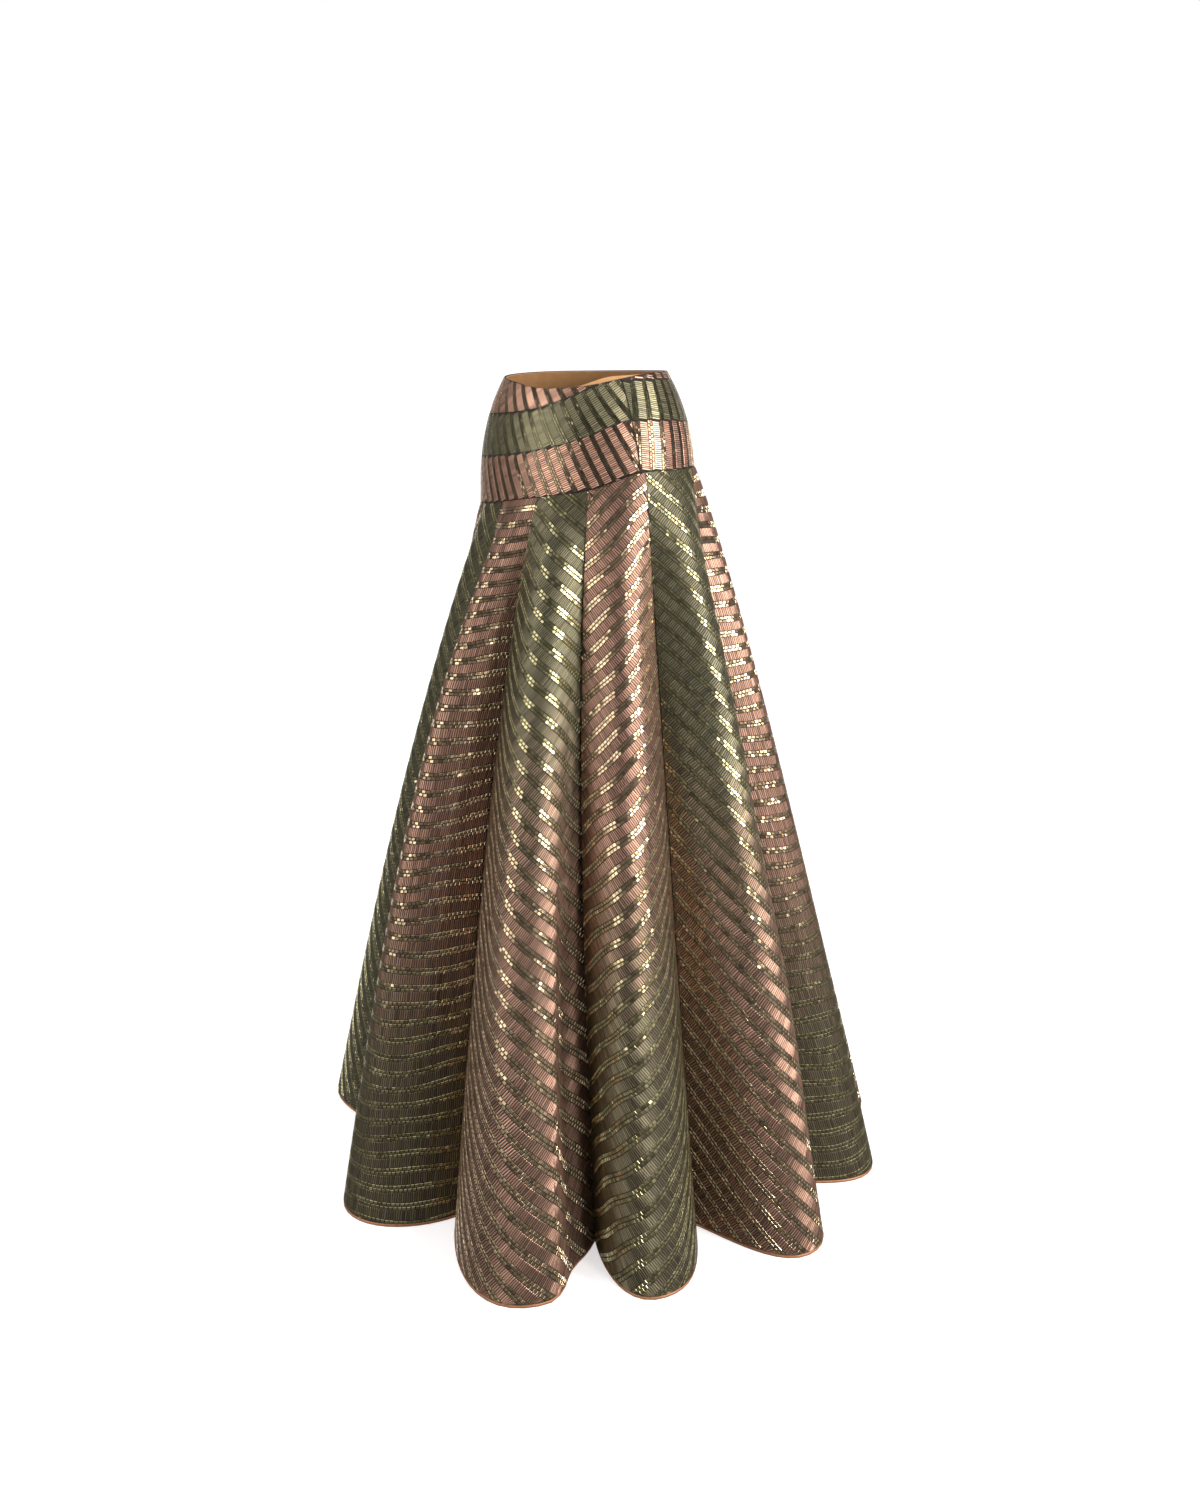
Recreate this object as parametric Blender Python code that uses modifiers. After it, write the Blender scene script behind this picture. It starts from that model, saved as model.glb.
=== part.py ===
"""A flared floor-length skirt, worn: a fitted hip yoke pieced from slanting bands,
twelve flared panels that roll out in deep cone folds, a waist facing and a hem binding.
Metres, +Z up, front towards -Y, wearer's left towards +X, origin at the waist."""

from collections import namedtuple
import math

import bmesh
import bpy
import numpy as np

# Overall sizes of the garment, in metres.
LENGTH = 1.030
CLOTH = 0.0020
FACING_CLOTH = 0.0010
SEAM_GAP = 0.0003
PANEL_GAP = 0.0004

# The yoke is an oval tube from the waist to the hip, half widths across and front to back.
WAIST_ACROSS = 0.1150
WAIST_DEEP = 0.0893
WAIST_RISE = 0.012
HIP_ACROSS = 0.1566
HIP_DEEP = 0.1252
HIP_DEPTH = 0.155
HIP_CURVE = 2.5

# The hem ring sits a little to the wearer's left and back of the waist.
HEM_SHIFT = (0.0043, 0.0041)

# Side seams of the yoke, degrees from the centre front at the hip, how far they lean forward
# at the waist, and the yoke's grid columns. The front top wedge runs out against the waist
# edge at one of the front columns.
SIDE_SEAM = 72.0
SEAM_LEAN = 5.5
FRONT_COLUMNS = 27
BACK_COLUMNS = 34
WEDGE_COLUMNS = 24
LEAST_BAND = 0.0020

# Facing inside the waist edge, and how far it stands above the edge at the wearer's left.
FACING_DEEP = 0.030
FACING_DROP = 0.0010
FACING_RISE = 0.0062
FACING_AT = 62.0
FACING_SPREAD = 17.0
FACING_INSET = 0.0029

# Hem binding, a narrow folded strip around the whole hem.
BINDING_HIGH = 0.0036
BINDING_THICK = 0.0030
BINDING_SLANT = 0.0014
SHARPEST_MITRE = 0.5

# Grid of each panel, columns across and rows down, how the flare and the puff of the folds
# start at the yoke, and the points and handles of the rounded flanks in plan.
COLUMNS = 12
ROWS = 18
FLARE = 0.90
ROW_BIAS = 1.25
PUFF_BIAS = 0.8
FINE = 60
CREST_HANDLE = 0.36
SEAM_HANDLE = 0.38

# Depths below the waist of the edges that run around the yoke, by angle.
YokeRow = namedtuple("YokeRow", "angle waist wedge green low")
YOKE_ROWS = (
    YokeRow(-150, -0.0075, 0.0340, 0.0900, 0.1500),
    YokeRow(-110, -0.0060, 0.0440, 0.1010, 0.1630),
    YokeRow(-70, -0.0020, 0.0480, 0.1050, 0.1690),
    YokeRow(-30, 0.0030, 0.0450, 0.1000, 0.1620),
    YokeRow(5, 0.0102, 0.0375, 0.0910, 0.1500),
    YokeRow(27, 0.0100, 0.0265, 0.0814, 0.1425),
    YokeRow(45, 0.0072, 0.0130, 0.0700, 0.1350),
    YokeRow(57, 0.0036, 0.0042, 0.0590, 0.1250),
    YokeRow(69, -0.0010, 0.0012, 0.0500, 0.1140),
    YokeRow(90, -0.0085, -0.0010, 0.0500, 0.1120),
    YokeRow(120, -0.0100, 0.0030, 0.0560, 0.1140),
    YokeRow(165, -0.0090, 0.0180, 0.0720, 0.1300),
)

# Seams between panels: angle at the yoke, angle and radius at the hem, sideways sway halfway.
Seam = namedtuple("Seam", "top hem radius sway")
SEAMS = (
    Seam(-15, -31.0, 0.262, -0.008),
    Seam(15, 6.0, 0.268, -0.012),
    Seam(45, 45.0, 0.262, -0.012),
    Seam(73, 73.0, 0.262, -0.004),
    Seam(105, 103.0, 0.256, 0.003),
    Seam(135, 132.0, 0.262, -0.004),
    Seam(165, 161.0, 0.254, 0.004),
    Seam(195, 188.5, 0.260, 0.000),
    Seam(225, 214.0, 0.252, 0.005),
    Seam(255, 238.5, 0.258, -0.004),
    Seam(285, 262.0, 0.250, 0.003),
    Seam(315, 286.5, 0.256, 0.000),
)

# Cone fold of each panel, from its first seam to the next: crest at the hem, roundness of
# its two flanks in degrees, outward puff and sideways sway halfway down, and how far the
# cloth at the crest is turned towards the last seam.
Fold = namedtuple("Fold", "name colour crest radius belly_a belly_b puff sway turn")
FOLDS = (
    Fold("panel_front", "rose", -12.0, 0.364, 18, 36, 0.036, 0.004, 0),
    Fold("panel_front_left", "green", 33.2, 0.393, 32, 14, 0.012, -0.0147, 18),
    Fold("panel_left_front", "rose", 55.9, 0.378, 26, 19, -0.004, -0.001, 7),
    Fold("panel_left", "green", 87.0, 0.388, 16, 20, 0.008, 0.004, 0),
    Fold("panel_left_back", "rose", 119.0, 0.382, 20, 14, 0.004, -0.003, 0),
    Fold("panel_back_left", "green", 145.0, 0.390, 14, 18, 0.008, 0.005, 0),
    Fold("panel_back", "rose", 175.0, 0.380, 18, 14, 0.004, -0.004, 0),
    Fold("panel_back_right", "green", 200.0, 0.392, 14, 16, 0.007, 0.003, 0),
    Fold("panel_right_back", "rose", 228.5, 0.384, 17, 14, 0.004, -0.003, 0),
    Fold("panel_right", "green", 249.5, 0.392, 14, 16, 0.008, 0.004, 0),
    Fold("panel_right_front", "rose", 274.0, 0.382, 16, 10, 0.005, -0.002, 0),
    Fold("panel_front_right", "green", 293.5, 0.384, 14, -8, 0.012, -0.002, 0),
)

ROSE = (0.36, 0.18, 0.13, 1.0)
GREEN = (0.12, 0.13, 0.06, 1.0)
FACING_COLOUR = (0.62, 0.36, 0.18, 1.0)
BINDING_COLOUR = (0.50, 0.24, 0.13, 1.0)
ROUGHNESS = 0.4
STRIP_METAL = 0.5


def polar(angle, radius):
    """Plan point at an angle in degrees from the centre front."""
    turn = math.radians(angle)
    return np.array([radius * math.sin(turn), -radius * math.cos(turn)])


def yoke_radius(angle, depth):
    """Radius of the oval yoke at an angle and a depth below the waist."""
    share = min(max((depth + WAIST_RISE) / (HIP_DEPTH + WAIST_RISE), 0.0), 1.0)
    rounded = 1.0 - (1.0 - share) ** HIP_CURVE
    across = WAIST_ACROSS + (HIP_ACROSS - WAIST_ACROSS) * rounded
    deep = WAIST_DEEP + (HIP_DEEP - WAIST_DEEP) * rounded
    turn = math.radians(angle)
    return across * deep / math.hypot(deep * math.sin(turn), across * math.cos(turn))


def yoke_edge(angle, column):
    """Depth of one of the edges around the yoke, smooth and closed around the body."""
    count = len(YOKE_ROWS)
    angles = [row.angle for row in YOKE_ROWS]
    depths = [getattr(row, column) for row in YOKE_ROWS]
    place = (angle - angles[0]) % 360.0 + angles[0]
    index = max(i for i in range(count) if angles[i] <= place)

    def knot(i):
        return angles[i % count] + 360.0 * (i // count), depths[i % count]

    before, here, after, beyond = (knot(index + step) for step in (-1, 0, 1, 2))
    span = after[0] - here[0]
    share = (place - here[0]) / span
    slope_here = (after[1] - before[1]) / (after[0] - before[0]) * span
    slope_after = (beyond[1] - here[1]) / (beyond[0] - here[0]) * span
    square = share * share
    cube = square * share
    return (
        (2 * cube - 3 * square + 1) * here[1]
        + (cube - 2 * square + share) * slope_here
        + (3 * square - 2 * cube) * after[1]
        + (cube - square) * slope_after
    )


def band_edge(angle, column):
    """Edge of a band, with the top wedge never narrower than its least width."""
    depth = yoke_edge(angle, column)
    if column == "wedge":
        depth = max(depth, yoke_edge(angle, "waist") + LEAST_BAND)
    return depth


def leaned(angle, depth):
    """Angle of a yoke column at a depth: the side seams lean forward towards the waist."""
    seam = SIDE_SEAM - SEAM_LEAN * (1.0 - depth / HIP_DEPTH)
    signed = (angle + 180.0) % 360.0 - 180.0
    if abs(signed) <= SIDE_SEAM:
        return signed * seam / SIDE_SEAM
    beyond = (180.0 - abs(signed)) * (180.0 - seam) / (180.0 - SIDE_SEAM)
    return math.copysign(180.0 - beyond, signed)


def yoke_point(angle, depth, inward=0.0):
    """Point on the outside of the yoke, or moved inward from it."""
    x, y = polar(angle, yoke_radius(angle, depth) - inward)
    return (x, y, -depth)


def turned(vector, degrees):
    turn = math.radians(degrees)
    cosine, sine = math.cos(turn), math.sin(turn)
    return np.array([cosine * vector[0] - sine * vector[1], sine * vector[0] + cosine * vector[1]])


def flank(seam, crest, facing, belly, side):
    """Rounded line in plan from a seam out to the crest of a fold, which faces an angle."""
    chord = crest - seam
    reach = float(np.hypot(*chord))
    leaving = turned(chord / reach, -side * belly)
    along = side * polar(facing + 90.0, 1.0)
    first = seam + leaving * reach * SEAM_HANDLE
    second = crest - along * reach * CREST_HANDLE
    shares = np.linspace(0.0, 1.0, FINE + 1)[:, None]
    return (
        (1 - shares) ** 3 * seam
        + 3 * shares * (1 - shares) ** 2 * first
        + 3 * shares**2 * (1 - shares) * second
        + shares**3 * crest
    )


def even_points(line, shares):
    """Points at given shares of the length of a line in plan."""
    steps = np.hypot(*np.diff(line, axis=0).T)
    run = np.concatenate(([0.0], np.cumsum(steps)))
    run = run / run[-1]
    return np.column_stack([np.interp(shares, run, line[:, i]) for i in (0, 1)])


def panel_ends(index):
    """The two seams of a panel with angles that only grow around the body."""
    seam_a = SEAMS[index]
    seam_b = SEAMS[(index + 1) % len(SEAMS)]
    lap = 360.0 if index + 1 == len(SEAMS) else 0.0
    return seam_a, seam_b._replace(top=seam_b.top + lap, hem=seam_b.hem + lap)


def panel_surface(index, shares, heights):
    """Grid of points on the outside of a panel: rows from the yoke down to the hem."""
    fold = FOLDS[index]
    seam_a, seam_b = panel_ends(index)
    start = polar(seam_a.hem, seam_a.radius)
    end = polar(seam_b.hem, seam_b.radius)
    crest = polar(fold.crest, fold.radius)
    facing = fold.crest + fold.turn
    out = flank(start, crest, facing, fold.belly_a, 1.0)
    back = flank(end, crest, facing, fold.belly_b, -1.0)[::-1]
    hem = even_points(np.vstack((out, back[1:])), shares) + HEM_SHIFT
    tops = seam_a.top + (seam_b.top - seam_a.top) * np.asarray(shares)
    grid = []
    for height in heights:
        spread = height**FLARE
        halfway = math.sin(math.pi * height**PUFF_BIAS)
        row = []
        for share, top_angle, hem_point in zip(shares, tops, hem):
            low = yoke_edge(top_angle, "low") + SEAM_GAP
            top = polar(top_angle, yoke_radius(top_angle, low))
            point = top + (hem_point - top) * spread
            middle = math.sin(math.pi * share) ** 2
            seam_sway = seam_a.sway * (1 - share) + seam_b.sway * share
            sway = seam_sway * (1 - middle) + fold.sway * middle
            point = point + halfway * (
                polar(fold.crest, 1.0) * fold.puff * middle + polar(fold.crest + 90.0, 1.0) * sway
            )
            depth = low + (LENGTH - BINDING_HIGH - SEAM_GAP - low) * height
            row.append((point[0], point[1], -depth))
        grid.append(row)
    return grid


def draw_in_ends(grid, gap):
    """Pull the two side edges of a grid back along their rows, for the seam gap."""
    for row in grid:
        for edge, beside in ((0, 1), (-1, -2)):
            a = np.array(row[edge])
            b = np.array(row[beside])
            step = (b - a) / np.linalg.norm(b - a)
            row[edge] = tuple(a + step * gap)
    return grid


def row_heights():
    """Rows stand closer together near the yoke, where the folds begin."""
    return [(i / ROWS) ** ROW_BIAS for i in range(ROWS + 1)]


def add_material(obj, colour, roughness, metallic):
    material = bpy.data.materials.new(obj.name)
    material.use_nodes = True
    shader = material.node_tree.nodes["Principled BSDF"]
    shader.inputs["Base Color"].default_value = colour
    shader.inputs["Roughness"].default_value = roughness
    shader.inputs["Metallic"].default_value = metallic
    obj.data.materials.append(material)


def make_object(name, vertices, faces, collection, colour, metallic=STRIP_METAL):
    mesh = bpy.data.meshes.new(name)
    mesh.from_pydata([tuple(float(c) for c in v) for v in vertices], [], faces)
    mesh.update()
    obj = bpy.data.objects.new(name, mesh)
    collection.objects.link(obj)
    add_material(obj, colour, ROUGHNESS, metallic)
    return obj


def cloth_from_grid(name, grid, thickness, collection, colour, closed=False, metallic=STRIP_METAL):
    """Open sheet through a grid, given its thickness towards the body."""
    columns = len(grid[0])
    vertices = [point for row in grid for point in row]
    faces = []
    for r in range(len(grid) - 1):
        for c in range(columns if closed else columns - 1):
            right = (c + 1) % columns
            faces.append(
                (r * columns + c, (r + 1) * columns + c, (r + 1) * columns + right, r * columns + right)
            )
    obj = make_object(name, vertices, faces, collection, colour, metallic)
    solid = obj.modifiers.new("Thickness", "SOLIDIFY")
    solid.thickness = thickness
    solid.offset = -1.0
    solid.use_even_offset = True
    solid.use_rim = True
    return obj


def even_angles(first, last, count):
    return [first + (last - first) * i / count for i in range(count + 1)]


def make_band(name, angles, upper, lower, rows, collection, colour):
    """One band of the yoke between two of its edges and two side seams."""
    grid = [[] for _ in range(rows + 1)]
    front = angles[-1] <= SIDE_SEAM
    for column, angle in enumerate(angles):
        past_wedge = front and upper == "wedge" and column > WEDGE_COLUMNS
        edge = "waist" if past_wedge else upper
        high = band_edge(angle, edge) + (0.0 if edge == "waist" else SEAM_GAP)
        low = band_edge(angle, lower)
        for r in range(rows + 1):
            depth = high + (low - high) * r / rows
            grid[r].append(yoke_point(leaned(angle, depth), depth))
    draw_in_ends(grid, SEAM_GAP / 2)
    return cloth_from_grid(name, grid, CLOTH, collection, colour)


def make_facing(front, back, collection):
    """Strip inside the waist edge that stands a little above it at the wearer's left."""
    grid = [[], [], []]
    for angle in front[:-1] + back[:-1]:
        away = (angle - FACING_AT) / FACING_SPREAD
        rise = FACING_RISE * math.exp(-away * away)
        edge = yoke_edge(angle, "waist")
        high = edge + FACING_DROP - rise
        low = edge + FACING_DEEP
        for r, depth in enumerate((high, (high + low) / 2, low)):
            grid[r].append(yoke_point(leaned(angle, depth), depth, FACING_INSET))
    return cloth_from_grid(
        "waist_facing", grid, FACING_CLOTH, collection, FACING_COLOUR, closed=True, metallic=0.0
    )


def make_binding(collection):
    """Narrow strip under the hem of every panel, one closed ring with a square section."""
    line = []
    shares = [i / COLUMNS for i in range(COLUMNS + 1)]
    for index in range(len(FOLDS)):
        hem = panel_surface(index, shares, [1.0])[0]
        line.extend(np.array(point[:2]) for point in hem[:-1])
    count = len(line)
    outer = []
    inner = []
    for i in range(count):
        before = line[i] - line[i - 1]
        after = line[(i + 1) % count] - line[i]
        normals = [np.array([s[1], -s[0]]) / np.linalg.norm(s) for s in (before, after)]
        mean = normals[0] + normals[1]
        mean = mean / np.linalg.norm(mean)
        mitre = 1.0 / max(float(mean @ normals[0]), SHARPEST_MITRE)
        spare = (BINDING_THICK - CLOTH) / 2
        outer.append(line[i] + mean * spare * mitre)
        inner.append(line[i] - mean * (BINDING_THICK - spare) * mitre)
    high = -(LENGTH - BINDING_HIGH)
    low = -LENGTH
    vertices = []
    for ring, z in ((outer, high), (outer, low), (inner, low), (inner, high - BINDING_SLANT)):
        vertices.extend((p[0], p[1], z) for p in ring)
    faces = []
    for side in range(4):
        near = side * count
        far = (side + 1) % 4 * count
        for i in range(count):
            j = (i + 1) % count
            faces.append((near + i, far + i, far + j, near + j))
    return make_object("hem_binding", vertices, faces, collection, BINDING_COLOUR, 0.0)


def face_outward(obj):
    """Turn the faces of a finished closed mesh outward."""
    work = bmesh.new()
    work.from_mesh(obj.data)
    bmesh.ops.recalc_face_normals(work, faces=work.faces)
    work.to_mesh(obj.data)
    work.free()


def build():
    for obj in list(bpy.data.objects):
        bpy.data.objects.remove(obj, do_unlink=True)
    collection = bpy.data.collections.new("flared_skirt")
    bpy.context.scene.collection.children.link(collection)

    front = even_angles(-SIDE_SEAM, SIDE_SEAM, FRONT_COLUMNS)
    back = even_angles(SIDE_SEAM, 360.0 - SIDE_SEAM, BACK_COLUMNS)
    bands = (
        ("yoke_front_top", front[: WEDGE_COLUMNS + 1], "waist", "wedge", 2, ROSE),
        ("yoke_front_green", front, "wedge", "green", 3, GREEN),
        ("yoke_front_rose", front, "green", "low", 3, ROSE),
        ("yoke_back_top", back, "waist", "wedge", 2, ROSE),
        ("yoke_back_green", back, "wedge", "green", 3, GREEN),
        ("yoke_back_rose", back, "green", "low", 3, ROSE),
    )
    for name, angles, upper, lower, rows, colour in bands:
        make_band(name, angles, upper, lower, rows, collection, colour)

    shares = [i / COLUMNS for i in range(COLUMNS + 1)]
    for index, fold in enumerate(FOLDS):
        grid = panel_surface(index, shares, row_heights())
        draw_in_ends(grid, PANEL_GAP / 2)
        colour = ROSE if fold.colour == "rose" else GREEN
        cloth_from_grid(fold.name, grid, CLOTH, collection, colour)

    make_facing(front, back, collection)
    binding = make_binding(collection)
    face_outward(binding)


build()
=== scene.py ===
from collections import namedtuple
from math import copysign, cos, exp, hypot, pi, radians, sin

import bpy
import numpy as np
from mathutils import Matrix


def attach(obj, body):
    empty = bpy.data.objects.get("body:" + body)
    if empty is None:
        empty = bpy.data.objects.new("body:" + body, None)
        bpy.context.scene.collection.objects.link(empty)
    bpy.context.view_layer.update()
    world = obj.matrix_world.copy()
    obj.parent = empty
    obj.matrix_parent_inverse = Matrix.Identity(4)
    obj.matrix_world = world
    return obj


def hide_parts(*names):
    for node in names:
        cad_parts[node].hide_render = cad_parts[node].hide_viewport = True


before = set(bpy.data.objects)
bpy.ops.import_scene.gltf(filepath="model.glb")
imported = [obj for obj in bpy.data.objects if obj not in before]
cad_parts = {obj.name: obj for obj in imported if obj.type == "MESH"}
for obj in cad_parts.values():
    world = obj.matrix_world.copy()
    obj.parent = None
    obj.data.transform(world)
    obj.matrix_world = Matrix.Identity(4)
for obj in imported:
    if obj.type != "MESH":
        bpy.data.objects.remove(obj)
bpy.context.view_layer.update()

# The fitted hip yoke: three slanting bands in front and three behind, cut from a firm
# backed net and joined edge to edge at two side seams. Each band is a thin shell on the
# oval of the waist and hips. SEAM_GAP parts a piece from the one above it, and SEAM_LAP
# takes side edges a little past their seam.

CLOTH, SMOOTH_BELOW = 0.0020, 50
SEAM_GAP, SEAM_LAP = 0.0003, 0.0003
WAIST_ACROSS, WAIST_DEEP, WAIST_RISE = 0.1150, 0.0893, 0.012
HIP_ACROSS, HIP_DEEP, HIP_DEPTH, HIP_CURVE = 0.1566, 0.1252, 0.155, 2.5
SIDE_SEAM, SEAM_LEAN = 72.0, 5.5
FRONT_COLUMNS, BACK_COLUMNS, WEDGE_COLUMNS = 54, 68, 48
LEAST_BAND = 0.0020

YokeRow = namedtuple("YokeRow", "angle waist wedge green low")
YOKE_ROWS = (
    YokeRow(-150, -0.0075, 0.0340, 0.0900, 0.1500),
    YokeRow(-110, -0.0060, 0.0440, 0.1010, 0.1630),
    YokeRow(-70, -0.0020, 0.0480, 0.1050, 0.1690),
    YokeRow(-30, 0.0030, 0.0450, 0.1000, 0.1620),
    YokeRow(5, 0.0102, 0.0375, 0.0910, 0.1500),
    YokeRow(27, 0.0100, 0.0265, 0.0814, 0.1425),
    YokeRow(45, 0.0072, 0.0130, 0.0700, 0.1350),
    YokeRow(57, 0.0036, 0.0042, 0.0590, 0.1250),
    YokeRow(69, -0.0010, 0.0012, 0.0500, 0.1140),
    YokeRow(90, -0.0085, -0.0010, 0.0500, 0.1120),
    YokeRow(120, -0.0100, 0.0030, 0.0560, 0.1140),
    YokeRow(165, -0.0090, 0.0180, 0.0720, 0.1300),
)


def polar(angle, radius):
    """Plan point at an angle in degrees from the centre front."""
    turn = radians(angle)
    return np.array([radius * sin(turn), -radius * cos(turn)])


def yoke_radius(angle, depth):
    """Radius of the oval yoke at an angle and a depth below the waist."""
    share = min(max((depth + WAIST_RISE) / (HIP_DEPTH + WAIST_RISE), 0.0), 1.0)
    rounded = 1.0 - (1.0 - share) ** HIP_CURVE
    across = WAIST_ACROSS + (HIP_ACROSS - WAIST_ACROSS) * rounded
    deep = WAIST_DEEP + (HIP_DEEP - WAIST_DEEP) * rounded
    turn = radians(angle)
    return across * deep / hypot(deep * sin(turn), across * cos(turn))


def yoke_edge(angle, column):
    """Depth of one of the seams that run around the yoke, smooth and closed."""
    count = len(YOKE_ROWS)
    angles = [row.angle for row in YOKE_ROWS]
    depths = [getattr(row, column) for row in YOKE_ROWS]
    place = (angle - angles[0]) % 360.0 + angles[0]
    index = max(i for i in range(count) if angles[i] <= place)

    def knot(i):
        return angles[i % count] + 360.0 * (i // count), depths[i % count]

    before, here, after, beyond = (knot(index + step) for step in (-1, 0, 1, 2))
    span = after[0] - here[0]
    share = (place - here[0]) / span
    slope_here = (after[1] - before[1]) / (after[0] - before[0]) * span
    slope_after = (beyond[1] - here[1]) / (beyond[0] - here[0]) * span
    square, cube = share**2, share**3
    return (
        (2 * cube - 3 * square + 1) * here[1]
        + (cube - 2 * square + share) * slope_here
        + (3 * square - 2 * cube) * after[1]
        + (cube - square) * slope_after
    )


def band_edge(angle, column):
    """Edge of a band, with the top wedge never narrower than its least width."""
    depth = yoke_edge(angle, column)
    if column == "wedge":
        depth = max(depth, yoke_edge(angle, "waist") + LEAST_BAND)
    return depth


def leaned(angle, depth):
    """Angle of a yoke column at a depth: the side seams lean forward at the waist."""
    seam = SIDE_SEAM - SEAM_LEAN * (1.0 - depth / HIP_DEPTH)
    signed = (angle + 180.0) % 360.0 - 180.0
    if abs(signed) <= SIDE_SEAM:
        return signed * seam / SIDE_SEAM
    beyond = (180.0 - abs(signed)) * (180.0 - seam) / (180.0 - SIDE_SEAM)
    return copysign(180.0 - beyond, signed)


def band_grid(angles, upper, lower, rows):
    """Points over one band, and the depths of its two edges at each column."""
    grid = np.zeros((rows + 1, len(angles), 3))
    edges = np.zeros((2, len(angles)))
    front = angles[-1] <= SIDE_SEAM
    for column, angle in enumerate(angles):
        past_wedge = front and upper == "wedge" and column > WEDGE_COLUMNS
        edge = "waist" if past_wedge else upper
        high = band_edge(angle, edge) + (0.0 if edge == "waist" else SEAM_GAP)
        low = band_edge(angle, lower)
        edges[:, column] = high, low
        for r in range(rows + 1):
            depth = high + (low - high) * r / rows
            turn = leaned(angle, depth)
            grid[r, column] = *polar(turn, yoke_radius(turn, depth)), -depth
    return grid, edges


def outward(grid):
    """Unit directions pointing out of the cloth at each point of a grid."""
    down = np.gradient(grid, axis=0)
    across = np.gradient(grid, axis=1)
    away = np.cross(down, across)
    return away / np.linalg.norm(away, axis=2, keepdims=True)


def link(name, mesh):
    thing = bpy.data.objects.new(name, mesh)
    bpy.context.scene.collection.objects.link(thing)
    return thing


def shell(name, grid, thickness, closed=False):
    """A cloth piece through a grid, given its thickness towards the body."""
    rows, columns = grid.shape[:2]
    place = np.arange(rows * columns).reshape(rows, columns)
    if closed:
        place = np.hstack((place, place[:, :1]))
    faces = np.stack((place[:-1, :-1], place[1:, :-1], place[1:, 1:], place[:-1, 1:]), axis=2)
    mesh = bpy.data.meshes.new(name)
    mesh.from_pydata(grid.reshape(-1, 3).tolist(), [], faces.reshape(-1, 4).tolist())
    mesh.polygons.foreach_set("use_smooth", [True] * len(mesh.polygons))
    piece = link(name, mesh)
    wall = piece.modifiers.new("wall", "SOLIDIFY")
    wall.thickness = thickness
    wall.offset = -1.0
    wall.use_even_offset = True
    wall.use_rim = True
    bpy.ops.object.select_all(action="DESELECT")
    piece.select_set(True)
    bpy.context.view_layer.objects.active = piece
    bpy.ops.object.modifier_apply(modifier="wall")
    bpy.ops.object.shade_smooth_by_angle(angle=radians(SMOOTH_BELOW))
    return piece


class Wire:
    """A socket that can be used in sums and products."""

    tree = None

    def __init__(self, socket):
        self.socket = socket

    @classmethod
    def node(cls, kind, settings=None, **values):
        made = cls.tree.nodes.new(kind)
        for key, value in (settings or {}).items():
            setattr(made, key, value)
        for key, value in values.items():
            target = made.inputs[int(key[1:]) if key[0] == "_" else key.replace("_", " ")]
            if isinstance(value, Wire):
                cls.tree.links.new(value.socket, target)
            else:
                target.default_value = value
        return made

    def worked(self, other, operation):
        made = Wire.node("ShaderNodeMath", {"operation": operation}, _0=self, _1=other)
        return Wire(made.outputs[0])

    def __add__(self, other):
        return self.worked(other, "ADD")

    def __sub__(self, other):
        return self.worked(other, "SUBTRACT")

    def __mul__(self, other):
        return self.worked(other, "MULTIPLY")


def blended(share, a, b):
    """A colour that goes from a to b with the share."""
    made = Wire.node("ShaderNodeMix", {"data_type": "RGBA"})
    for socket, value in ((made.inputs[0], share), (made.inputs[6], a), (made.inputs[7], b)):
        if isinstance(value, Wire):
            Wire.tree.links.new(value.socket, socket)
        else:
            socket.default_value = value
    return Wire(made.outputs[2])


def paint(name, **constants):
    """A new finish with its shader's constants set, ready for its patterns."""
    finish = bpy.data.materials.new(name)
    finish.use_nodes = True
    Wire.tree = finish.node_tree
    shader = finish.node_tree.nodes["Principled BSDF"]
    for key, value in constants.items():
        shader.inputs[key.replace("_", " ")].default_value = value
    return finish, shader


def tint(red, green, blue):
    """Screen colour from 0 to 255 as the light it stands for."""
    parts = [c / 255.0 for c in (red, green, blue)]
    return tuple(c / 12.92 if c < 0.04045 else ((c + 0.055) / 1.055) ** 2.4 for c in parts) + (1.0,)


def cloth_finish(name, dark, light):
    """Plain net over lining: a fine square weave with a soft mottled colour."""
    finish, shader = paint(name, Roughness=0.75, Metallic=0.0)
    where = Wire(Wire.node("ShaderNodeTexCoord").outputs["Object"])
    mottle = Wire(Wire.node("ShaderNodeTexNoise", Vector=where, Scale=160.0, Detail=2.0).outputs[0])
    colour = blended(mottle, dark, light)
    weave = Wire(Wire.node("ShaderNodeTexVoronoi", Vector=where, Scale=900.0).outputs[0])
    bump = Wire.node("ShaderNodeBump", Strength=0.4, Distance=0.0004, Height=weave)
    Wire.tree.links.new(colour.socket, shader.inputs["Base Color"])
    Wire.tree.links.new(bump.outputs[0], shader.inputs["Normal"])
    return finish


rose_cloth = cloth_finish("rose_cloth", tint(32, 19, 16), tint(56, 33, 27))
green_cloth = cloth_finish("green_cloth", tint(18, 19, 11), tint(34, 36, 21))

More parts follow.
